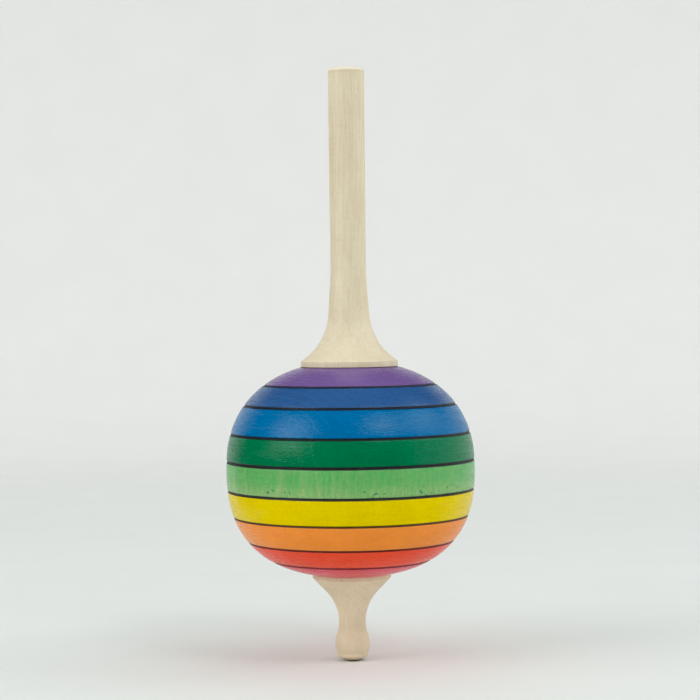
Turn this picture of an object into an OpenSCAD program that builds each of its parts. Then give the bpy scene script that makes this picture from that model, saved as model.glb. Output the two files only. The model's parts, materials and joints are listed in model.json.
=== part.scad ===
// Finger spinning top, turned in maple: a stained ball, a long handle above it and a foot below.
// The ball is drilled right through. The handle and the foot each have a round tenon that is
// glued into that bore, and a shoulder that sits on a flat turned on the ball.
// Frame: Z is the spin axis, and the origin is the point of the foot that touches the ground.

/* [Ball] */
// Diameter of the ball at its widest line
ball_d = 44; // [40:0.5:50]
// Height of the widest line above the ground
equator_z = 34.2; // [34:0.1:38]
// Height of the upper curve above the widest line, before the top is cut flat
crown_h = 18.9; // [18.5:0.1:22]
// Depth of the lower curve below the widest line, before the bottom is cut flat
belly_h = 19.1; // [18.7:0.1:20]
// Fullness of the upper curve, where 2 is an ellipse
crown_fullness = 2.3; // [2:0.05:3]
// Fullness of the lower curve, where 2 is an ellipse
belly_fullness = 2.5; // [2:0.05:3]

/* [Burnt grooves] */
// Heights of the grooves above and below the widest line
groove_heights = [14.8, 11.3, 6.3, 1.5, -3.7, -8.4, -12.8, -16.2]; // [-17:0.1:16]
// Width of a groove across its mouth
groove_w = 0.6; // [0.3:0.05:1]
// Depth of a groove
groove_depth = 0.25; // [0.1:0.05:0.5]

/* [Handle] */
// Diameter of the part held between finger and thumb
stem_d = 6.4; // [6.3:0.05:7]
// Total height of the top
total_h = 105.2; // [90:0.1:120]
// Length of the straight grip, down from the rim of the domed end
grip_length = 25; // [15:0.5:28]
// Height of the domed end
stem_dome_h = 0.9; // [0.4:0.1:2]
// Length of the slope from the grip to the slimmer neck
neck_slope_h = 2.5; // [1:0.1:4]
// Diameter of the neck between the grip and the bell
neck_d = 6.3; // [6:0.05:6.4]
// Diameter of the rim that sits on the ball
rim_d = 17.2; // [15:0.1:18]
// Thickness of the rim
rim_h = 1.05; // [0.6:0.05:1.5]
// Radius of the bell's hollow curve
bell_r = 10.6; // [10:0.1:11]
// Slope of the stem where it runs into the bell, in degrees from the axis
bell_lead = 4; // [3:0.5:6]
// Slope of the bell where it meets the rim, in degrees from the axis
bell_flare = 58; // [56:1:60]

/* [Foot] */
// Diameter of the collar under the ball
collar_d = 13.9; // [12:0.1:14.5]
// Height of the collar's straight side
collar_h = 0.8; // [0.4:0.1:1.2]
// Slope of the cone below the collar, in degrees from the axis
cone_slope = 47; // [40:1:50]
// Diameter of the waist
waist_d = 4.74; // [4.4:0.02:5.2]
// Height of the waist above the ground
waist_z = 6.8; // [6.4:0.1:7]
// Radius of the hollow curve above the waist
waist_r = 8; // [7:0.1:8.5]
// Diameter of the knob
knob_d = 6.1; // [5.6:0.1:6.6]
// Height of the knob's widest line above the ground
knob_z = 2.9; // [2.6:0.1:3.2]
// Radius of the curve under the knob's widest line
knob_under_r = 3.4; // [3:0.1:4]
// Diameter of the edge round the point
point_d = 5.4; // [5:0.1:5.6]
// Height of the rounded point
point_h = 0.85; // [0.6:0.05:1.2]

/* [Joint] */
// Diameter of the bore through the ball
bore_d = 8; // [6:0.5:10]
// Room for glue all round a tenon
glue_gap = 0.05; // [0.01:0.01:0.1]
// Length of the handle's tenon
handle_tenon = 9; // [6:0.5:15]
// Length of the foot's tenon
foot_tenon = 10; // [6:0.5:15]
// Chamfer on the end of a tenon
tenon_chamfer = 0.6; // [0.2:0.1:1]

/* [Hidden] */

ARC_STEPS = 16;      // straight pieces in each turned curve
BALL_STEPS = 72;     // straight pieces from the top flat to the bottom flat
ROUND = 96;
MOUTH_CLEAR = 0.3;   // how far the groove and bore cutters start outside the wood
EDGE_SHOW = 0.05;    // width of the flat that shows outside each shoulder

ball_r = ball_d / 2;
rim_r = rim_d / 2;
collar_r = collar_d / 2;
waist_rad = waist_d / 2;
tenon_r = bore_d / 2 - glue_gap;

// Height of the ball's curve at a radius, and its radius at a height, by the superellipse rule.
function curve_h(r, h, n) = h * pow(1 - pow(r / ball_r, n), 1 / n);
function curve_r(z, h, n) = ball_r * pow(1 - pow(abs(z) / h, n), 1 / n);
function ball_radius_at(z) =
    z >= 0 ? curve_r(z, crown_h, crown_fullness) : curve_r(z, belly_h, belly_fullness);

top_flat_r = rim_r + EDGE_SHOW;
bottom_flat_r = collar_r + EDGE_SHOW;
top_seat = curve_h(top_flat_r, crown_h, crown_fullness);
bottom_seat = -curve_h(bottom_flat_r, belly_h, belly_fullness);

// Points on an arc about [r, z], from angle a to angle b in degrees.
function arc(r, z, radius, a, b, steps = ARC_STEPS) =
    [for (i = [0:steps]) let (t = a + (b - a) * i / steps) [r + radius * cos(t), z + radius * sin(t)]];

// Radius of the arc that rises by a height over half its chord.
function arc_radius(half_chord, height) = (half_chord * half_chord + height * height) / (2 * height);

// An arc without its first point, where it carries on from the arc before it.
function drop_first(points) = [for (i = [1:len(points) - 1]) points[i]];

module turned(outline) {
    rotate_extrude($fn = ROUND) polygon(outline);
}

// The outline's heights are evenly spaced in angle, so they gather towards the two flats.
module ball() {
    upper = [for (i = [0:BALL_STEPS / 2])
        let (z = top_seat * sin(90 * (1 - 2 * i / BALL_STEPS))) [ball_radius_at(z), z]];
    lower = [for (i = [1:BALL_STEPS / 2])
        let (z = bottom_seat * sin(180 * i / BALL_STEPS)) [ball_radius_at(z), z]];
    bore_h = top_seat - bottom_seat + 2 * MOUTH_CLEAR;
    color("seagreen")
    translate([0, 0, equator_z])
    difference() {
        turned(concat([[0, top_seat]], upper, lower, [[0, bottom_seat]]));
        translate([0, 0, bottom_seat - MOUTH_CLEAR]) cylinder(d = bore_d, h = bore_h, $fn = ROUND);
        for (z = groove_heights) groove(z);
    }
}

// A V cut square to the ball's surface at one height.
module groove(z) {
    r = ball_radius_at(z);
    step = 0.01;
    tilt = atan2(ball_radius_at(z - step) - ball_radius_at(z + step), 2 * step);
    mouth = groove_w / 2 * (groove_depth + MOUTH_CLEAR) / groove_depth;
    rotate_extrude($fn = ROUND)
    translate([r, z]) rotate(tilt)
    polygon([[-groove_depth, 0], [MOUTH_CLEAR, -mouth], [MOUTH_CLEAR, mouth]]);
}

module handle() {
    seat = equator_z + top_seat;
    end_z = seat - handle_tenon;
    grip_z = total_h - stem_dome_h - grip_length;
    dome_r = arc_radius(stem_d / 2, stem_dome_h);
    bell_centre = [rim_r + bell_r * cos(bell_flare), seat + rim_h + bell_r * sin(bell_flare)];
    lead_r = bell_centre[0] - bell_r * cos(bell_lead);
    lead_z = bell_centre[1] - bell_r * sin(bell_lead);
    color("wheat")
    turned(concat(
        arc(0, total_h - dome_r, dome_r, 90, acos(stem_d / 2 / dome_r)),
        [[stem_d / 2, grip_z], [neck_d / 2, grip_z - neck_slope_h]],
        [[neck_d / 2, lead_z + (lead_r - neck_d / 2) / tan(bell_lead)]],
        arc(bell_centre[0], bell_centre[1], bell_r, 180 + bell_lead, 180 + bell_flare),
        [[rim_r, seat], [tenon_r, seat]],
        [[tenon_r, end_z + tenon_chamfer], [tenon_r - tenon_chamfer, end_z], [0, end_z]]
    ));
}

// The knob's upper curve and the hollow over it are equal arcs that meet half way.
module foot_peg() {
    seat = equator_z + bottom_seat;
    end_z = seat + foot_tenon;
    swell_r = arc_radius((waist_z - knob_z) / 2, (knob_d - waist_d) / 4);
    swell_angle = asin((waist_z - knob_z) / 2 / swell_r);
    under_angle = acos(1 - (knob_d - point_d) / 2 / knob_under_r);
    point_r = arc_radius(point_d / 2, point_h);
    color("burlywood")
    turned(concat(
        [[0, end_z], [tenon_r - tenon_chamfer, end_z], [tenon_r, end_z - tenon_chamfer]],
        [[tenon_r, seat], [collar_r, seat], [collar_r, seat - collar_h]],
        arc(waist_rad + waist_r, waist_z, waist_r, 180 - cone_slope, 180),
        drop_first(arc(waist_rad + swell_r, waist_z, swell_r, 180, 180 + swell_angle)),
        drop_first(arc(knob_d / 2 - swell_r, knob_z, swell_r, swell_angle, 0)),
        drop_first(arc(knob_d / 2 - knob_under_r, knob_z, knob_under_r, 0, -under_angle)),
        arc(0, point_r, point_r, -acos(point_d / 2 / point_r), -90)
    ));
}

ball();
handle();
foot_peg();
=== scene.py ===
"""A turned wooden finger top: its stained ball, its maple handle and foot, and a small paper studio.

The three pieces are lathe outlines spun round the Z axis. Their overall sizes come from the frame, and
the settings below hold what a turner or a dyer would choose: curves, grooves, stains and finish.
"""

import json
import math

import bmesh
import bpy
from mathutils import Matrix, Vector, noise


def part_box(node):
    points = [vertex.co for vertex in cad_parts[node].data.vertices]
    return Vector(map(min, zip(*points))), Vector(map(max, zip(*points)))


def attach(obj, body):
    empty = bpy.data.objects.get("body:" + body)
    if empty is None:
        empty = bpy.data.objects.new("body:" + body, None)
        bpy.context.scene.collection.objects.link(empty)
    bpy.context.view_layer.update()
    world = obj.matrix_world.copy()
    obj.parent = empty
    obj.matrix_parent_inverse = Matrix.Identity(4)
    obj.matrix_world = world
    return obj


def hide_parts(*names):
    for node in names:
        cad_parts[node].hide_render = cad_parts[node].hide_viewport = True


bl_info = {
    "name": "Turned Finger Top",
    "version": (1, 0, 0),
    "blender": (4, 5, 0),
    "location": "View3D > Sidebar > Finger Top",
    "description": "Turns and stains a wooden finger top round its packed frame",
    "category": "Add Mesh",
}

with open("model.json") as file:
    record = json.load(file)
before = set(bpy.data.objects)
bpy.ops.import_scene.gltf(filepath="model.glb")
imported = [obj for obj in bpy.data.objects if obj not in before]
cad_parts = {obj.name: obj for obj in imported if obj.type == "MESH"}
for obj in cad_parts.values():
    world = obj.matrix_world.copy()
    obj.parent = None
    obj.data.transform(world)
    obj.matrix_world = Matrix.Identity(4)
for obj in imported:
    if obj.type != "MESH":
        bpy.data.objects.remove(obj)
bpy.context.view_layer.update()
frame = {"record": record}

MM = 0.001
TURN = 2 * math.pi
BODY = "root"

BALL_LOW, BALL_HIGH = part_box("ball")
HANDLE_LOW, HANDLE_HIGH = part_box("handle")
FOOT_LOW, FOOT_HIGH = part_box("foot_peg")
GRIP = next(m for m in frame["record"]["mounts"] if m["name"] == "stem_grip")
GRIP_RADIUS = GRIP["dims"]["r_mm"] * MM
GRIP_LENGTH = GRIP["dims"]["length_mm"] * MM
GRIP_MIDDLE = GRIP["pos_m"][2]

BAND_NAMES = (
    "violet", "indigo", "blue", "dark_green", "light_green", "yellow", "orange", "red", "pink",
)
GROOVE_COUNT = len(BAND_NAMES) - 1

# Both tenons are the same: a loose fit in the bore, which leaves room for glue.
TENON_RADIUS = 3.95 * MM
TENON_CHAMFER = 0.6 * MM

# How closely the pieces are meshed: sides round the axis, and the longest step along an outline.
BALL_SIDES, HANDLE_SIDES, FOOT_SIDES = 384, 192, 160
BALL_STEP, HANDLE_STEP, FOOT_STEP = 0.42 * MM, 0.45 * MM, 0.3 * MM
GROOVE_STEP = 0.07 * MM
TRACE_STEP = 0.02 * MM
BORE_STEP = 2 * MM
ON_AXIS = 1e-7

# A groove's hollow is a bell curve, this wide as a share of the groove's width.
GROOVE_SPREAD = 0.42

# The hand-turned ripple: how deep it is, and where in the noise each piece takes it.
BALL_RIPPLE, HANDLE_RIPPLE, FOOT_RIPPLE = 0.012 * MM, 0.03 * MM, 0.02 * MM
BALL_SEED, HANDLE_SEED, FOOT_SEED = 3.0, 11.0, 23.0
RING_RIPPLE_LENGTH = 2.6 * MM
SLOW_RIPPLE_LENGTH = 9 * MM

# The middle of the growth rings, in millimetres from the spin axis.
BALL_PITH, HANDLE_PITH, FOOT_PITH = (42.4, 42.4, 0.0), (38.0, 22.0, 0.0), (-30.0, 26.0, 0.0)

# How far the tool lines and fibres stand up on the waxed ball and on the bare, sanded wood.
WAXED_RELIEF = 0.08 * MM
SANDED_RELIEF = 0.05 * MM

# The studio: radius of the flat sheet under the top, the way to the front light, the share of the room
# light that polish does not mirror, and the level that is shown as black.
NEAR_FLOOR = 0.12
FRONT = (0.0, -0.966, 0.259)
HIDDEN_FROM_POLISH = 0.97
BLACK_POINT = 0.03


# ---------------------------------------------------------------- settings


def length(name, description, millimetres, low=0.0, high=200.0):
    """A length setting, given in millimetres."""
    return bpy.props.FloatProperty(
        name=name, description=description, default=millimetres * MM,
        min=low * MM, max=high * MM, precision=5, unit="LENGTH",
    )


def share(name, description, value, high=1.0):
    """A plain number from nothing to high."""
    return bpy.props.FloatProperty(name=name, description=description, default=value, min=0.0, max=high)


def angle(name, description, degrees):
    """An angle setting, given in degrees."""
    return bpy.props.FloatProperty(
        name=name, description=description, default=math.radians(degrees), unit="ROTATION",
    )


def colour(name, description, red, green, blue):
    """A linear colour setting."""
    return bpy.props.FloatVectorProperty(
        name=name, description=description, default=(red, green, blue), min=0.0, max=1.0, size=3,
        subtype="COLOR",
    )


class BallSettings(bpy.types.PropertyGroup):
    """Curves, burnt grooves and stains of the ball."""

    middle: length("Widest line", "Height of the widest line above the ground", 34.2)
    crown: length("Crown", "Height of the full upper curve above the widest line", 18.9)
    belly: length("Belly", "Depth of the full lower curve below the widest line", 19.1)
    crown_fullness: share("Crown fullness", "Power of the upper curve, where 2 is an ellipse", 2.3, 4.0)
    belly_fullness: share("Belly fullness", "Power of the lower curve, where 2 is an ellipse", 2.5, 4.0)
    bore_radius: length("Bore radius", "Radius of the hole that takes both tenons", 4.0)
    groove_depth: length("Groove depth", "Depth of a burnt groove", 0.16)
    groove_heights: bpy.props.FloatVectorProperty(
        name="Groove heights", description="Heights of the burnt grooves from the widest line",
        size=GROOVE_COUNT, unit="LENGTH",
        default=[h * MM for h in (14.8, 11.3, 6.3, 1.5, -3.7, -8.4, -12.8, -16.2)],
    )
    groove_widths: bpy.props.FloatVectorProperty(
        name="Groove widths", description="Widths of the burnt grooves, as the wire left them",
        size=GROOVE_COUNT, unit="LENGTH",
        default=[w * MM for w in (0.38, 0.48, 0.5, 0.6, 0.52, 0.42, 0.4, 0.42)],
    )
    groove_burns: bpy.props.FloatVectorProperty(
        name="Groove burns", description="How dark each groove is burnt, from nothing to full char",
        size=GROOVE_COUNT, min=0.0, max=1.0, default=(0.88, 0.97, 0.98, 1.0, 0.97, 0.9, 0.85, 0.7),
    )
    violet: colour("Violet", "Stain of the first band, under the handle", 0.178, 0.11, 0.29)
    indigo: colour("Indigo", "Stain of the second band", 0.041, 0.109, 0.27)
    blue: colour("Blue", "Stain of the third band", 0.01, 0.145, 0.345)
    dark_green: colour("Dark green", "Stain of the fourth band", 0.013, 0.175, 0.077)
    light_green: colour("Light green", "Stain of the fifth band", 0.084, 0.39, 0.118)
    yellow: colour("Yellow", "Stain of the sixth band", 0.73, 0.565, 0)
    orange: colour("Orange", "Stain of the seventh band", 0.875, 0.285, 0.055)
    red: colour("Red", "Stain of the eighth band", 0.87, 0.086, 0.04)
    pink: colour("Pink", "Stain of the last band, above the foot", 0.77, 0.085, 0.122)
    washed_green: colour("Washed green", "Light green where it took less dye", 0.305, 0.475, 0.19)
    green_specks: colour("Green specks", "Light green where it took more dye", 0.015, 0.22, 0.12)
    char: colour("Char", "Burnt wood in the grooves", 0.04, 0.04, 0.043)
    bare: colour("Bare wood", "Maple where the stain has rubbed thin", 0.7, 0.6, 0.42)


class HandleSettings(bpy.types.PropertyGroup):
    """Outline and wood of the handle."""

    dome: length("Domed end", "Height of the domed end of the stem", 0.55)
    neck_slope: length("Neck slope", "Length of the slope from the grip to the neck", 2.5)
    neck_radius: length("Neck radius", "Radius of the neck between the grip and the bell", 3.15)
    rim_height: length("Rim thickness", "Thickness of the rim that sits on the ball", 1.05)
    bell_radius: length("Bell curve", "Radius of the bell's hollow curve", 10.6)
    bell_lead: angle("Bell lead", "Slope of the stem where it runs into the bell", 4)
    bell_flare: angle("Bell flare", "Slope of the bell where it meets the rim", 58)
    pale: colour("Pale grain", "Colour of the wide pale growth", 0.793, 0.705, 0.52)
    dark: colour("Dark grain", "Colour of the narrow darker growth and fibres", 0.63, 0.52, 0.345)
    # Painted highlight: the domed end is drawn lighter than the stem, as light falling on it from above.
    end_grain_highlight: colour("End grain", "Colour of the sanded domed end", 0.85, 0.78, 0.63)
    # The rim's dark lower edge is partly stain seep and partly painted shade of the gap under the rim.
    seat_seep_and_shade: colour("Seat line", "Glue and stain that crept along the rim's lower edge", 0.1, 0.055, 0.05)


class FootSettings(bpy.types.PropertyGroup):
    """Outline and wood of the foot."""

    collar_height: length("Collar", "Height of the collar's straight side", 0.8)
    cone_slope: angle("Cone slope", "Slope of the cone below the collar", 47)
    waist_radius: length("Waist radius", "Radius of the waist", 2.37)
    waist_height: length("Waist height", "Height of the waist above the ground", 6.8)
    hollow_radius: length("Hollow curve", "Radius of the hollow curve above the waist", 8.0)
    knob_radius: length("Knob radius", "Radius of the knob", 3.05)
    knob_height: length("Knob height", "Height of the knob's widest line", 2.9)
    under_radius: length("Under curve", "Radius of the curve under the knob's widest line", 3.4)
    point_radius: length("Point edge", "Radius of the edge round the point", 2.7)
    point_height: length("Point", "Height of the rounded point", 0.85)
    pale: colour("Pale grain", "Colour of the wide pale growth", 0.88, 0.765, 0.56)
    dark: colour("Dark grain", "Colour of the narrow darker growth and fibres", 0.68, 0.55, 0.375)
    # Painted shade: the knob is drawn darker in this colour, as the shade it lies in.
    shaded_knob: colour("Worn wood", "Colour that fingers and ground have left on the knob", 0.56, 0.45, 0.305)


class StudioSettings(bpy.types.PropertyGroup):
    """Floor, soft lights and camera."""

    lens: bpy.props.FloatProperty(
        name="Lens", description="Focal length of the camera's lens", default=101.7, unit="CAMERA",
    )
    distance: length("Camera distance", "Level distance from the spin axis", 350.4, high=1000)
    rise: length("Camera rise", "Height of the camera above the ball's widest line", 27.4)
    tilt: angle("Camera tilt", "How far the camera looks down", 1.065)
    turn: angle("Camera turn", "How far the camera looks to the right", 0.024)
    lean: angle("Camera lean", "How far the camera is rolled", -0.676)
    floor_paper: colour("Floor paper", "Paper of the level floor", 0.722, 0.742, 0.725)
    wall_paper: colour("Wall paper", "Paper where it stands up behind", 0.76, 0.758, 0.742)
    reach: length("Floor reach", "How far the level floor runs before it curves up", 450, high=3000)
    bend: length("Sweep bend", "Radius of the curve from floor to wall", 350, high=3000)
    wall: length("Wall height", "Height of the wall's top edge", 450, high=3000)
    gap: angle("Camera gap", "Half of the turn, round the camera, that gives no light back", 55)
    left_gap: angle("Left gap", "Turn to the left of the camera that polish does not mirror", 125)
    glow: share("Wall glow", "Light of the lamps behind the paper", 0.055, 10.0)
    room: share("Room light", "Strength of the even light from all round", 0.405, 10.0)
    room_top: share("Room light above", "Extra light from above, as a share of the room light", 1.2, 10.0)
    room_front: share(
        "Room light in front", "Extra light behind the camera, as a share of the room light", 0.82, 10.0,
    )
    left_power: share("Left light", "Power of the softbox on the left, in watts", 2.25, 500.0)
    right_power: share("Right light", "Power of the softbox on the right, in watts", 1.05, 500.0)
    side_power: share("Side light", "Power of the softbox far to the right, in watts", 1, 500.0)


# ---------------------------------------------------------------- lathe outlines


def arc(centre, radius, start, end, steps=24):
    """Points on an arc about centre, from angle start to angle end."""
    turns = [start + (end - start) * i / steps for i in range(steps + 1)]
    return [(centre[0] + radius * math.cos(t), centre[1] + radius * math.sin(t)) for t in turns]


def dome_radius(edge, height):
    """Radius of a dome that rises by height over its edge."""
    return (edge * edge + height * height) / (2 * height)


def eased(corners, steps=6):
    """The outline with each corner (r, z, radius) turned into a small arc of that radius.

    Other points are (r, z). They are left out where they lie inside the reach of a corner's arc.
    """
    made, corner_before, cut = [], Vector((0.0, 0.0)), 0.0
    for i, corner in enumerate(corners):
        if len(corner) == 2:
            if (Vector(corner) - corner_before).length > cut:
                made.append(Vector(corner))
            continue
        here = Vector(corner[:2])
        before = (Vector(corners[i - 1][:2]) - here).normalized()
        after = (Vector(corners[i + 1][:2]) - here).normalized()
        half = before.angle(after) / 2
        reach = corner[2] / math.tan(half)
        while made and (made[-1] - here).length < reach:
            made.pop()
        middle = here + (before + after).normalized() * corner[2] / math.sin(half)
        first, last = here + before * reach - middle, here + after * reach - middle
        for k in range(steps + 1):
            made.append(middle + first.slerp(last, k / steps) * corner[2])
        corner_before, cut = here, reach
    return made


def spaced(outline, step):
    """The outline with points added, so that no two are further apart than step."""
    made = [Vector(outline[0])]
    for point in outline[1:]:
        start, end = made[-1].copy(), Vector(point)
        cuts = max(1, math.ceil((end - start).length / step))
        made += [start.lerp(end, k / cuts) for k in range(1, cuts + 1)]
    return made


def spin(name, outline, around, closed=False, shape=None, start=0.0, end=TURN):
    """A mesh made by turning an outline of (r, z) points round Z. shape moves each finished point."""
    bm = bmesh.new()
    count = around if math.isclose(end - start, TURN) else around + 1
    rings = []
    for point in outline:
        if point[0] < ON_AXIS:
            rings.append([bm.verts.new((0.0, 0.0, point[1]))])
            continue
        ring = []
        for k in range(count):
            turn = start + (end - start) * k / around
            place = Vector((point[0] * math.cos(turn), point[0] * math.sin(turn), point[1]))
            ring.append(bm.verts.new(shape(place) if shape else place))
        rings.append(ring)
    pairs = list(zip(rings, rings[1:]))
    if closed:
        pairs.append((rings[-1], rings[0]))
    for upper, lower in pairs:
        for k in range(around):
            n = (k + 1) % count
            # A ring on the axis has one vertex, which a face meets twice and keeps once.
            quad = [ring[i % len(ring)] for ring, i in ((upper, k), (lower, k), (lower, n), (upper, n))]
            corners = list(dict.fromkeys(quad))
            if len(corners) > 2:
                bm.faces.new(corners).smooth = True
    bmesh.ops.recalc_face_normals(bm, faces=bm.faces)
    mesh = bpy.data.meshes.new(name)
    bm.to_mesh(mesh)
    bm.free()
    made = bpy.data.objects.new(name, mesh)
    bpy.context.scene.collection.objects.link(made)
    return made


def hand_turned(amount, seed):
    """A shape for spin(): the slow ripple that a hand-held gouge leaves, strongest from ring to ring."""
    def shape(place):
        reach = math.hypot(place.x, place.y)
        along = Vector((seed, 0.0, (place.z - reach * 0.5) / RING_RIPPLE_LENGTH))
        round_about = place / SLOW_RIPPLE_LENGTH + Vector((seed, seed, 0.0))
        grow = 1 + amount * (noise.noise(along) + 0.6 * noise.noise(round_about)) / max(reach, MM)
        return Vector((place.x * grow, place.y * grow, place.z))
    return shape


def place_piece(piece, node, material):
    """The piece stands for its CAD node, takes its material, and rides on the body."""
    piece.data.materials.append(material)
    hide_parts(node)
    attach(piece, BODY)


# ---------------------------------------------------------------- node trees


class Wiring:
    """Adds nodes to one tree. An input takes a plain value or another node's socket."""

    def __init__(self, tree):
        self.tree = tree

    def feed(self, node, inputs):
        """Gives a node's inputs their values or their links."""
        for key, value in inputs.items():
            if isinstance(value, bpy.types.NodeSocket):
                self.tree.links.new(value, node.inputs[key])
            else:
                node.inputs[key].default_value = value

    def node(self, kind, inputs=None, **settings):
        made = self.tree.nodes.new(kind)
        for name, value in settings.items():
            setattr(made, name, value)
        self.feed(made, inputs or {})
        return made

    def math(self, operation, a, b=0.0, clamp=False):
        return self.node("ShaderNodeMath", {0: a, 1: b}, operation=operation, use_clamp=clamp).outputs[0]

    def vector(self, operation, a, b=(0.0, 0.0, 0.0)):
        return self.node("ShaderNodeVectorMath", {0: a, 1: b}, operation=operation).outputs[0]

    def size(self, place):
        return self.node("ShaderNodeVectorMath", {0: place}, operation="LENGTH").outputs["Value"]

    def dot(self, a, b):
        return self.node("ShaderNodeVectorMath", {0: a, 1: b}, operation="DOT_PRODUCT").outputs["Value"]

    def mix(self, amount, a, b, blend="MIX"):
        inputs = {"Factor": amount, 6: a, 7: b}
        return self.node("ShaderNodeMix", inputs, data_type="RGBA", blend_type=blend).outputs[2]

    def fade(self, value, low, high, start=0.0, end=1.0):
        """start below low, end above high, and a smooth change between."""
        inputs = {"Value": value, "From Min": low, "From Max": high, "To Min": start, "To Max": end}
        return self.node("ShaderNodeMapRange", inputs, interpolation_type="SMOOTHSTEP").outputs["Result"]

    def noise(self, place, scale=1.0, detail=2.0, roughness=0.5):
        inputs = {"Vector": place, "Scale": scale, "Detail": detail, "Roughness": roughness}
        return self.node("ShaderNodeTexNoise", inputs).outputs[0]

    def parts(self, place):
        return self.node("ShaderNodeSeparateXYZ", {0: place}).outputs

    def join(self, x, y, z):
        return self.node("ShaderNodeCombineXYZ", {0: x, 1: y, 2: z}).outputs[0]

    def total(self, *values):
        added = values[0]
        for value in values[1:]:
            added = self.math("ADD", added, value)
        return added

    def weighed(self, *layers):
        """The sum of (socket, weight) pairs."""
        return self.total(*(self.math("MULTIPLY", socket, weight) for socket, weight in layers))

    def relief(self, height, distance):
        """A normal that stands the surface up by distance where height is one."""
        inputs = {"Height": height, "Strength": 1.0, "Distance": distance}
        return self.node("ShaderNodeBump", inputs).outputs[0]

    def same(self, value):
        """One value as a vector or a grey."""
        return self.join(value, value, value)


def group(name, inputs, outputs):
    """An empty node group with named sockets: (wiring, input sockets, output node)."""
    tree = bpy.data.node_groups.new(name, "ShaderNodeTree")
    for label, kind, value in inputs:
        socket = tree.interface.new_socket(name=label, in_out="INPUT", socket_type=kind)
        socket.default_value = value
    for label in outputs:
        tree.interface.new_socket(name=label, in_out="OUTPUT", socket_type="NodeSocketFloat")
    return Wiring(tree), tree.nodes.new("NodeGroupInput").outputs, tree.nodes.new("NodeGroupOutput")


def maple_figure():
    """Growth rings round an offset pith, long upright fibres and short ray flecks, all in millimetres."""
    found = bpy.data.node_groups.get("Maple figure")
    if found:
        return found
    w, given, out = group(
        "Maple figure",
        [
            ("Place", "NodeSocketVector", (0.0, 0.0, 0.0)),
            ("Pith", "NodeSocketVector", (40.0, 40.0, 0.0)),
            ("Ring Step", "NodeSocketFloat", 1.2),
            ("Wander", "NodeSocketFloat", 2.0),
            ("Seed", "NodeSocketFloat", 0.0),
        ],
        ["Rings", "Fibres", "Flecks", "Cloud"],
    )
    seeded = w.vector("ADD", given["Place"], w.same(given["Seed"]))
    bend = w.noise(w.vector("MULTIPLY", seeded, (0.11, 0.11, 0.06)), detail=1.0)
    ripple = w.noise(w.vector("MULTIPLY", seeded, (0.6, 0.6, 0.3)))
    level = w.vector("MULTIPLY", given["Place"], (1.0, 1.0, 0.0))
    from_pith = w.size(w.vector("SUBTRACT", level, given["Pith"]))
    radius = w.total(
        from_pith,
        w.math("MULTIPLY", bend, given["Wander"]),
        w.math("MULTIPLY", ripple, w.math("MULTIPLY", given["Wander"], 0.15)),
    )
    year = w.math("FRACT", w.math("DIVIDE", radius, given["Ring Step"]))
    late = w.math("MULTIPLY", w.math("POWER", year, 5.0), w.fade(year, 0.94, 1.0, 1.0, 0.0))
    # A ring shows most where the surface lies along it, and least where the surface cuts across it.
    across = w.dot(w.vector("NORMALIZE", level), w.vector("NORMALIZE", given["Pith"]))
    rings = w.math("MULTIPLY", late, w.fade(w.math("ABSOLUTE", across), 0.5, 0.95, 0.25, 1.0))
    fibres = w.noise(w.vector("MULTIPLY", seeded, (3.2, 3.2, 0.14)), detail=3.0, roughness=0.6)
    flecks = w.noise(w.vector("MULTIPLY", seeded, (2.3, 2.3, 0.75)), detail=1.5)
    cloud = w.noise(w.vector("MULTIPLY", seeded, (0.25, 0.25, 0.12)), detail=3.0)
    w.feed(out, {
        "Rings": rings,
        "Fibres": w.fade(fibres, 0.34, 0.68),
        "Flecks": w.fade(flecks, 0.62, 0.74),
        "Cloud": w.fade(cloud, 0.3, 0.7),
    })
    return w.tree


def lathe_marks():
    """Fine lines left round the piece by the tool, and the torn fibres between them."""
    found = bpy.data.node_groups.get("Lathe marks")
    if found:
        return found
    w, given, out = group(
        "Lathe marks",
        [
            ("Place", "NodeSocketVector", (0.0, 0.0, 0.0)),
            ("Along", "NodeSocketFloat", 0.0),
            ("Seed", "NodeSocketFloat", 0.0),
        ],
        ["Lines", "Torn", "Height"],
    )
    x, y, _ = w.parts(given["Place"])
    shift = w.same(given["Seed"])

    def stretched(level, upright):
        place = w.join(
            w.math("MULTIPLY", x, level),
            w.math("MULTIPLY", y, level),
            w.math("MULTIPLY", given["Along"], upright),
        )
        return w.vector("ADD", place, shift)

    lines = w.noise(stretched(0.09, 2.4), detail=3.0, roughness=0.65)
    wavy = w.noise(stretched(0.5, 0.9), detail=1.0)
    strayed = w.vector("ADD", stretched(2.6, 3.4), w.join(wavy, wavy, w.math("MULTIPLY", wavy, 3.0)))
    torn = w.noise(strayed)
    height = w.weighed((lines, 0.2), (torn, 0.75))
    w.feed(out, {"Lines": w.fade(lines, 0.3, 0.7), "Torn": w.fade(torn, 0.4, 0.7), "Height": height})
    return w.tree


def in_millimetres(w):
    """The place on the piece, in millimetres."""
    place = w.node("ShaderNodeTexCoord").outputs["Object"]
    return w.node("ShaderNodeVectorMath", {0: place, "Scale": 1 / MM}, operation="SCALE").outputs[0]


def use_group(w, tree, inputs):
    """Places a node group in a tree, and returns its outputs."""
    return w.node("ShaderNodeGroup", inputs, node_tree=tree).outputs


def new_material(name):
    """A material with its Principled BSDF: (material, wiring, shader node)."""
    material = bpy.data.materials.new(name)
    material.use_nodes = True
    return material, Wiring(material.node_tree), material.node_tree.nodes["Principled BSDF"]


def opaque(rgb):
    """A colour with its alpha."""
    return (*rgb, 1.0)


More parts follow.
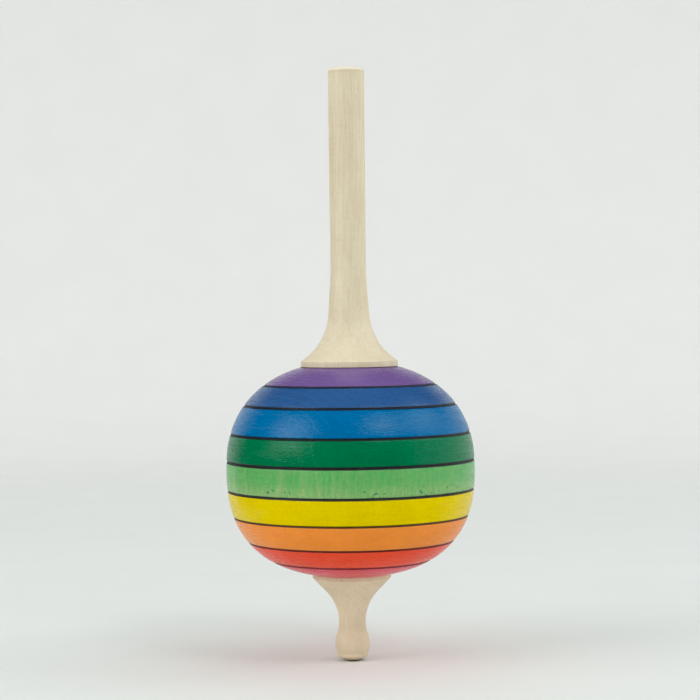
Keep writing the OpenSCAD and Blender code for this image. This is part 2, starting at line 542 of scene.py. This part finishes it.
def band_stains(w, height, settings):
    """The nine stains by height, changing in the middle of each groove."""
    low = (BALL_LOW.z - settings.middle) / MM
    high = (BALL_HIGH.z - settings.middle) / MM
    ramp = w.node("ShaderNodeValToRGB", {0: w.math("DIVIDE", w.math("SUBTRACT", height, low), high - low)})
    ramp.color_ramp.interpolation = "CONSTANT"
    stops = ramp.color_ramp.elements
    stops[0].color = opaque(settings.pink)
    stops.remove(stops[1])
    rising = zip(reversed(BAND_NAMES[:-1]), reversed(settings.groove_heights))
    for band, groove in rising:
        stop = stops.new((groove / MM - low) / (high - low))
        stop.color = opaque(getattr(settings, band))
    return ramp.outputs[0]


def burnt_lines(w, place, height, settings):
    """A mask of the burnt grooves, whose edges wander a little as a hot wire's do."""
    wander = w.noise(w.vector("MULTIPLY", place, (0.35, 0.35, 0.35)), detail=3.0)
    mask = 0.0
    for groove, width, burn in zip(settings.groove_heights, settings.groove_widths, settings.groove_burns):
        off = w.math("ABSOLUTE", w.math("SUBTRACT", height, groove / MM))
        half = w.math("MULTIPLY", w.math("ADD", w.math("MULTIPLY", wander, 0.3), 0.85), width / MM / 2)
        mask = w.math("MAXIMUM", mask, w.fade(w.math("DIVIDE", off, half), 0.7, 1.25, burn, 0.0))
    return mask


def patchy_green(w, place, height, figure, stain, settings):
    """The light green band took the dye unevenly.

    It is mottled and paler along its lower edge, with a few dark specks there.
    """
    band = BAND_NAMES.index("light_green")
    top, bottom = (h / MM for h in settings.groove_heights[band - 1:band + 1])
    inside = w.math("MULTIPLY", w.math("LESS_THAN", height, top), w.math("GREATER_THAN", height, bottom))
    mottle = w.noise(w.vector("MULTIPLY", place, (1.9, 1.9, 0.7)), detail=4.0, roughness=0.7)
    streaks = w.noise(w.vector("MULTIPLY", place, (3.2, 3.2, 0.45)), detail=3.0, roughness=0.65)
    climb = w.fade(streaks, 0.32, 0.68, 0.2, 0.75)
    lower = w.math("MULTIPLY", w.fade(height, bottom + 0.3, bottom + 3.2, 1.0, 0.0), climb)
    mottled = w.weighed((w.fade(mottle, 0.34, 0.68), 0.3), (figure["Fibres"], 0.2), (figure["Rings"], 0.35))
    pale = w.math("MULTIPLY", w.total(mottled, lower), inside, clamp=True)
    washed = w.mix(pale, stain, opaque(settings.washed_green))
    dots = w.noise(w.vector("MULTIPLY", place, (1.5, 1.5, 1.8)), detail=1.0)
    where = w.noise(w.vector("MULTIPLY", place, (0.1, 0.1, 0.0)), detail=1.0)
    strip = w.math("MULTIPLY", w.fade(height, bottom + 1.3, bottom + 2.4, 1.0, 0.0), inside)
    patches = w.math("MULTIPLY", strip, w.fade(where, 0.4, 0.55))
    specks = w.math("MULTIPLY", w.fade(dots, 0.62, 0.68), patches)
    return w.mix(w.math("MULTIPLY", specks, 0.85), washed, opaque(settings.green_specks))


def ball_material(settings):
    """Stained maple: clear bands, growth rings and fibres under the stain, tool lines and a thin wax."""
    material, w, shader = new_material("Stained maple")
    place = in_millimetres(w)
    x, y, z = w.parts(place)
    height = w.math("SUBTRACT", z, settings.middle / MM)
    level = w.size(w.join(x, y, 0.0))
    along = w.math("MULTIPLY", w.math("ARCTAN2", height, level), BALL_HIGH.x / MM)
    grown = {"Place": place, "Pith": BALL_PITH, "Ring Step": 1.15, "Wander": 1.6}
    figure = use_group(w, maple_figure(), grown)
    marks = use_group(w, lathe_marks(), {"Place": place, "Along": along})
    stain = patchy_green(w, place, height, figure, band_stains(w, height, settings), settings)
    # The stain is deeper in the soft early growth, and thinner on hard fibres and tool lines.
    tone = 1.1
    for layer, weight in (
        (figure["Fibres"], 0.06), (marks["Lines"], 0.06), (figure["Flecks"], 0.05), (figure["Cloud"], 0.05),
    ):
        tone = w.math("SUBTRACT", tone, w.math("MULTIPLY", layer, weight))
    toned = w.mix(1.0, stain, w.same(tone), "MULTIPLY")
    thin = w.weighed((marks["Torn"], 0.005), (figure["Rings"], 0.025))
    rubbed = w.mix(thin, toned, opaque(settings.bare))
    burnt = burnt_lines(w, place, height, settings)
    uneven = w.total(marks["Height"], w.math("MULTIPLY", figure["Fibres"], 0.1))
    dull = w.total(0.23, w.math("MULTIPLY", marks["Lines"], 0.08), w.math("MULTIPLY", burnt, 0.25))
    w.feed(shader, {
        "Base Color": w.mix(burnt, rubbed, opaque(settings.char)),
        "Roughness": dull,
        "Normal": w.relief(uneven, WAXED_RELIEF),
        "Specular IOR Level": 0.3,
    })
    return material


def maple_material(name, settings, pith, seed, lean, trims):
    """Bare sanded maple. lean says how the outline's length grows with its radius.

    Each trim is (from height, to height, amount, colour): a zone that changes towards the colour.
    """
    material, w, shader = new_material(name)
    place = in_millimetres(w)
    x, y, z = w.parts(place)
    along = w.math("ADD", z, w.math("MULTIPLY", w.size(w.join(x, y, 0.0)), lean))
    grown = {"Place": place, "Pith": pith, "Ring Step": 1.3, "Wander": 0.9, "Seed": seed}
    figure = use_group(w, maple_figure(), grown)
    marks = use_group(w, lathe_marks(), {"Place": place, "Along": along, "Seed": seed})
    grain = w.weighed(
        (figure["Rings"], 0.22), (figure["Fibres"], 0.3), (figure["Flecks"], 0.3),
        (marks["Torn"], 0.1), (marks["Lines"], 0.08),
    )
    dark = w.math("ADD", grain, w.math("MULTIPLY", figure["Cloud"], 0.3), clamp=True)
    wood = w.mix(dark, opaque(settings.pale), opaque(settings.dark))
    for low, high, amount, shade in trims:
        wood = w.mix(w.fade(z, low / MM, high / MM, 0.0, amount), wood, opaque(shade))
    uneven = w.weighed((marks["Height"], 0.5), (figure["Fibres"], 0.2))
    w.feed(shader, {
        "Base Color": wood,
        "Roughness": w.total(0.46, w.math("MULTIPLY", marks["Lines"], 0.12)),
        "Normal": w.relief(uneven, SANDED_RELIEF),
        "Specular IOR Level": 0.7,
    })
    return material


def paper_material(settings):
    """Pale matt paper, a little lighter and lit from behind where it stands up as the wall."""
    material, w, shader = new_material("Pale paper")
    place = w.node("ShaderNodeTexCoord").outputs["Object"]
    rise = w.fade(w.size(place), 0.4 * settings.reach, settings.reach + 0.55 * settings.bend)
    paper = w.mix(rise, opaque(settings.floor_paper), opaque(settings.wall_paper))
    grain = w.fade(w.noise(place, 40.0, 3.0), 0.3, 0.7, 0.985, 1.0)
    w.feed(shader, {
        "Base Color": w.mix(1.0, paper, w.same(grain), "MULTIPLY"),
        "Roughness": 0.85,
        "Specular IOR Level": 0.1,
        "Emission Color": (1.0, 1.0, 0.985, 1.0),
        "Emission Strength": w.math("MULTIPLY", rise, settings.glow),
    })
    return material


# ---------------------------------------------------------------- outlines of the pieces


def ball_radius(settings, height):
    """Radius of the ball at a height from its widest line."""
    full = settings.crown if height >= 0 else settings.belly
    power = settings.crown_fullness if height >= 0 else settings.belly_fullness
    return BALL_HIGH.x * (1 - (abs(height) / full) ** power) ** (1 / power)


def ball_outline(settings):
    """The ball's outline from the top flat down, with close points across each groove."""
    top, bottom = BALL_HIGH.z - settings.middle, BALL_LOW.z - settings.middle
    height, gone, next_at = top, 0.0, 0.0
    made = [(settings.bore_radius, top)]
    last = (ball_radius(settings, top), top)
    while height > bottom:
        here = (ball_radius(settings, height), height)
        gone += math.dist(last, here)
        if gone >= next_at:
            slope = math.atan2(here[0] - last[0], last[1] - here[1]) if here != last else 0.0
            depth, near = 0.0, False
            for groove, width in zip(settings.groove_heights, settings.groove_widths):
                off = abs(height - groove) / max(math.cos(slope), 0.2)
                near = near or off < width
                depth += settings.groove_depth * math.exp(-((off / (GROOVE_SPREAD * width)) ** 2))
            made.append((here[0] - depth * math.cos(slope), here[1] - depth * math.sin(slope)))
            next_at = gone + (GROOVE_STEP if near else BALL_STEP)
        last = here
        # The trace goes down more slowly where the ball flattens towards its top and underside.
        wider = here[0] - ball_radius(settings, height - TRACE_STEP)
        height -= TRACE_STEP * max(0.15, math.cos(math.atan2(wider, TRACE_STEP)))
    made.append((ball_radius(settings, bottom), bottom))
    made.append((settings.bore_radius, bottom))
    bore = spaced([made[-1], made[0]], BORE_STEP)[1:-1]
    return [(r, z + settings.middle) for r, z in [*made, *bore]]


def handle_outline(settings):
    """The handle's outline from its domed end down to the end of its tenon."""
    top, seat, rim = HANDLE_HIGH.z, BALL_HIGH.z, HANDLE_HIGH.x
    end = HANDLE_LOW.z
    dome = dome_radius(GRIP_RADIUS, settings.dome)
    grip_low = GRIP_MIDDLE - GRIP_LENGTH / 2
    flare, lead, bell = settings.bell_flare, settings.bell_lead, settings.bell_radius
    centre = (rim + bell * math.cos(flare), seat + settings.rim_height + bell * math.sin(flare))
    lead_r = centre[0] - bell * math.cos(lead)
    lead_z = centre[1] - bell * math.sin(lead)
    neck_low = lead_z + (lead_r - settings.neck_radius) / math.tan(lead)
    return eased([
        *arc((0.0, top - dome), dome, math.pi / 2, math.acos(GRIP_RADIUS / dome))[:-1],
        (GRIP_RADIUS, top - settings.dome, 0.6 * MM),
        (GRIP_RADIUS, grip_low),
        (settings.neck_radius, grip_low - settings.neck_slope),
        (settings.neck_radius, neck_low),
        *arc(centre, bell, math.pi + lead, math.pi + flare)[:-1],
        (rim, seat + settings.rim_height, 0.1 * MM),
        (rim, seat, 0.16 * MM),
        (TENON_RADIUS, seat),
        (TENON_RADIUS, end + TENON_CHAMFER),
        (TENON_RADIUS - TENON_CHAMFER, end),
        (0.0, end),
    ])


def foot_outline(settings):
    """The foot's outline from the end of its tenon down to its point."""
    seat, collar, end = BALL_LOW.z, FOOT_HIGH.x, FOOT_HIGH.z
    waist, knob = settings.waist_radius, settings.knob_radius
    rise = (settings.waist_height - settings.knob_height) / 2
    swell = dome_radius(rise, (knob - waist) / 2)
    swell_turn = math.asin(rise / swell)
    under_turn = math.acos(1 - (knob - settings.point_radius) / settings.under_radius)
    point = dome_radius(settings.point_radius, settings.point_height)
    hollow = (waist + settings.hollow_radius, settings.waist_height)
    under = (knob - settings.under_radius, settings.knob_height)
    return eased([
        (0.0, end),
        (TENON_RADIUS - TENON_CHAMFER, end),
        (TENON_RADIUS, end - TENON_CHAMFER),
        (TENON_RADIUS, seat),
        (collar, seat, 0.1 * MM),
        (collar, seat - settings.collar_height, 0.4 * MM),
        *arc(hollow, settings.hollow_radius, math.pi - settings.cone_slope, math.pi),
        *arc((waist + swell, settings.waist_height), swell, math.pi, math.pi + swell_turn, 12)[1:],
        *arc((knob - swell, settings.knob_height), swell, swell_turn, 0.0, 12)[1:],
        *arc(under, settings.under_radius, 0.0, -under_turn, 12)[1:],
        (settings.point_radius, settings.point_height, 0.2 * MM),
        *arc((0.0, point), point, -math.acos(settings.point_radius / point), -math.pi / 2)[1:],
    ])


# ---------------------------------------------------------------- operators


class TURNEDTOP_OT_ball(bpy.types.Operator):
    """Turns the ball with its burnt grooves, and stains it in nine bands"""

    bl_idname = "turned_top.ball"
    bl_label = "Turn the Ball"

    def execute(self, context):
        settings = context.scene.top_ball
        ripple = hand_turned(BALL_RIPPLE, BALL_SEED)
        ball = spin("turned_ball", ball_outline(settings), BALL_SIDES, closed=True, shape=ripple)
        place_piece(ball, "ball", ball_material(settings))
        return {"FINISHED"}


class TURNEDTOP_OT_handle(bpy.types.Operator):
    """Turns the handle: domed stem, bell, rim and tenon"""

    bl_idname = "turned_top.handle"
    bl_label = "Turn the Handle"

    def execute(self, context):
        settings = context.scene.top_handle
        outline = spaced(handle_outline(settings), HANDLE_STEP)
        ripple = hand_turned(HANDLE_RIPPLE, HANDLE_SEED)
        handle = spin("turned_handle", outline, HANDLE_SIDES, shape=ripple)
        seat, top = BALL_HIGH.z, HANDLE_HIGH.z
        # Painted shade with stain seep along the rim's lower edge, a darker ring near the stem's end, and a
        # painted highlight on the sanded end.
        trims = (
            (seat + 0.2 * MM, seat + 0.02 * MM, 0.75, settings.seat_seep_and_shade),
            (top - 1.5 * MM, top - 1.1 * MM, 0.3, settings.dark),
            (top - 0.9 * MM, top - 0.65 * MM, 1.0, settings.end_grain_highlight),
        )
        wood = maple_material("Pale maple", settings, HANDLE_PITH, seed=17.0, lean=-1.0, trims=trims)
        place_piece(handle, "handle", wood)
        return {"FINISHED"}


class TURNEDTOP_OT_foot(bpy.types.Operator):
    """Turns the foot: collar, cone, waist, knob, point and tenon"""

    bl_idname = "turned_top.foot"
    bl_label = "Turn the Foot"

    def execute(self, context):
        settings = context.scene.top_foot
        outline = spaced(foot_outline(settings), FOOT_STEP)
        foot = spin("turned_foot", outline, FOOT_SIDES, shape=hand_turned(FOOT_RIPPLE, FOOT_SEED))
        seat = BALL_LOW.z
        # Painted shade on the wood right under the ball and on the knob.
        trims = (
            # Painted shade right under the ball.
            (seat - 0.2 * MM, seat, 0.25, settings.dark),
            # Painted shade on the knob.
            (settings.waist_height + 2.2 * MM, settings.knob_height + 2.6 * MM, 0.45, settings.shaded_knob),
        )
        wood = maple_material("Tan maple", settings, FOOT_PITH, seed=41.0, lean=1.0, trims=trims)
        place_piece(foot, "foot_peg", wood)
        return {"FINISHED"}


class TURNEDTOP_OT_studio(bpy.types.Operator):
    """Sets the camera, the paper sweep and the soft lights"""

    bl_idname = "turned_top.studio"
    bl_label = "Set the Studio"

    def execute(self, context):
        settings = context.scene.top_studio
        middle = context.scene.top_ball.middle
        self.camera(context, settings, middle)
        self.sweep(settings)
        self.room_light(context, settings)
        # Name, azimuth and elevation in degrees, distance, width and height in metres, and power.
        lamps = (
            ("left_softbox", -63, 28, 0.8, 0.5, 0.48, settings.left_power),
            ("right_softbox", 37, 44, 0.8, 0.31, 0.17, settings.right_power),
            ("side_softbox", 88, 38, 0.8, 0.5, 0.28, settings.side_power),
        )
        for lamp in lamps:
            self.softbox(middle, *lamp)
        return {"FINISHED"}

    def camera(self, context, settings, middle):
        lens = bpy.data.cameras.new("studio_camera")
        lens.lens = settings.lens
        lens.clip_start, lens.clip_end = 0.01, 20.0
        camera = bpy.data.objects.new("studio_camera", lens)
        turned = (
            Matrix.Rotation(-settings.turn, 4, "Z")
            @ Matrix.Rotation(math.pi / 2 - settings.tilt, 4, "X")
            @ Matrix.Rotation(settings.lean, 4, "Z")
        )
        stand = Vector((0.0, -settings.distance, middle + settings.rise))
        camera.matrix_world = Matrix.Translation(stand) @ turned
        context.scene.collection.objects.link(camera)
        context.scene.camera = camera

    def sweep(self, settings):
        """A round paper sweep: a level floor that curves up into a wall, so that no horizon shows."""
        reach, bend = settings.reach, settings.bend
        rise = arc((reach, bend), bend, -math.pi / 2, 0.0, 40)
        outline = spaced([(NEAR_FLOOR, 0.0), (reach, 0.0), *rise[1:], (reach + bend, settings.wall)], 0.05)
        front = -math.pi / 2
        right_edge, left_edge = front + settings.gap, front - settings.gap
        far_left = front - settings.left_gap
        paper = paper_material(settings)
        floor = spin("paper_floor", [(0.0, 0.0), (NEAR_FLOOR, 0.0)], 96)
        back = spin("paper_back", outline, 60, start=right_edge, end=front + TURN - settings.left_gap)
        left = spin("paper_left", outline, 24, start=far_left, end=left_edge)
        camera_side = spin("paper_camera_side", outline, 24, start=left_edge, end=right_edge)
        left.visible_glossy = False
        camera_side.visible_glossy = False
        camera_side.visible_diffuse = False
        for sheet in (floor, back, left, camera_side):
            sheet.data.materials.append(paper)

    def room_light(self, context, settings):
        """Even light for matt surfaces, with little of it in reflections."""
        world = bpy.data.worlds.new("studio_room")
        world.use_nodes = True
        w = Wiring(world.node_tree)
        light = world.node_tree.nodes["Background"]
        way = w.node("ShaderNodeTexCoord").outputs["Generated"]
        above = w.fade(w.parts(way)[2], 0.2, 1.0, 0.0, settings.room_top)
        front = w.fade(w.dot(way, FRONT), 0.35, 1.0, 0.0, settings.room_front)
        mirrored = w.node("ShaderNodeLightPath").outputs["Is Glossy Ray"]
        hidden = w.math("MULTIPLY", mirrored, HIDDEN_FROM_POLISH * settings.room)
        even = w.math("SUBTRACT", settings.room, hidden)
        w.feed(light, {
            "Color": (0.97, 1.0, 1.0, 1.0),
            "Strength": w.math("MULTIPLY", even, w.total(above, front, 1.0)),
        })
        context.scene.world = world
        context.scene.view_settings.view_transform = "Standard"
        context.scene.view_settings.use_curve_mapping = True
        context.scene.view_settings.curve_mapping.black_level = (BLACK_POINT,) * 3

    def softbox(self, middle, name, azimuth, elevation, distance, width, height, power):
        """A soft light at an azimuth to the right of the camera, facing the ball."""
        light = bpy.data.lights.new(name, "AREA")
        light.shape = "RECTANGLE"
        light.size, light.size_y = width, height
        light.energy = power
        a, e = math.radians(azimuth), math.radians(elevation)
        out = Vector((math.sin(a) * math.cos(e), -math.cos(a) * math.cos(e), math.sin(e)))
        lamp = bpy.data.objects.new(name, light)
        lamp.location = Vector((0.0, 0.0, middle)) + out * distance
        lamp.rotation_mode = "QUATERNION"
        lamp.rotation_quaternion = out.to_track_quat("Z", "Y")
        lamp.visible_camera = False
        bpy.context.scene.collection.objects.link(lamp)


class TURNEDTOP_PT_panel(bpy.types.Panel):
    """Settings and steps of the turned top"""

    bl_label = "Turned Finger Top"
    bl_idname = "TURNEDTOP_PT_panel"
    bl_space_type = "VIEW_3D"
    bl_region_type = "UI"
    bl_category = "Finger Top"

    def draw(self, context):
        for step, settings in STEPS:
            box = self.layout.box()
            box.operator(step)
            group_of = getattr(context.scene, settings)
            for name in type(group_of).__annotations__:
                box.prop(group_of, name)


# The camera comes first in the making, with the studio.
STEPS = (
    ("turned_top.studio", "top_studio"),
    ("turned_top.ball", "top_ball"),
    ("turned_top.handle", "top_handle"),
    ("turned_top.foot", "top_foot"),
)
SETTINGS = {
    "top_studio": StudioSettings,
    "top_ball": BallSettings,
    "top_handle": HandleSettings,
    "top_foot": FootSettings,
}
CLASSES = (
    *SETTINGS.values(),
    TURNEDTOP_OT_studio,
    TURNEDTOP_OT_ball,
    TURNEDTOP_OT_handle,
    TURNEDTOP_OT_foot,
    TURNEDTOP_PT_panel,
)


def register():
    for each in CLASSES:
        bpy.utils.register_class(each)
    for name, settings in SETTINGS.items():
        setattr(bpy.types.Scene, name, bpy.props.PointerProperty(type=settings))


def unregister():
    for name in SETTINGS:
        delattr(bpy.types.Scene, name)
    for each in reversed(CLASSES):
        bpy.utils.unregister_class(each)


def main():
    register()
    for step, _ in STEPS:
        family, name = step.split(".")
        getattr(getattr(bpy.ops, family), name)()


if __name__ == "__main__":
    main()
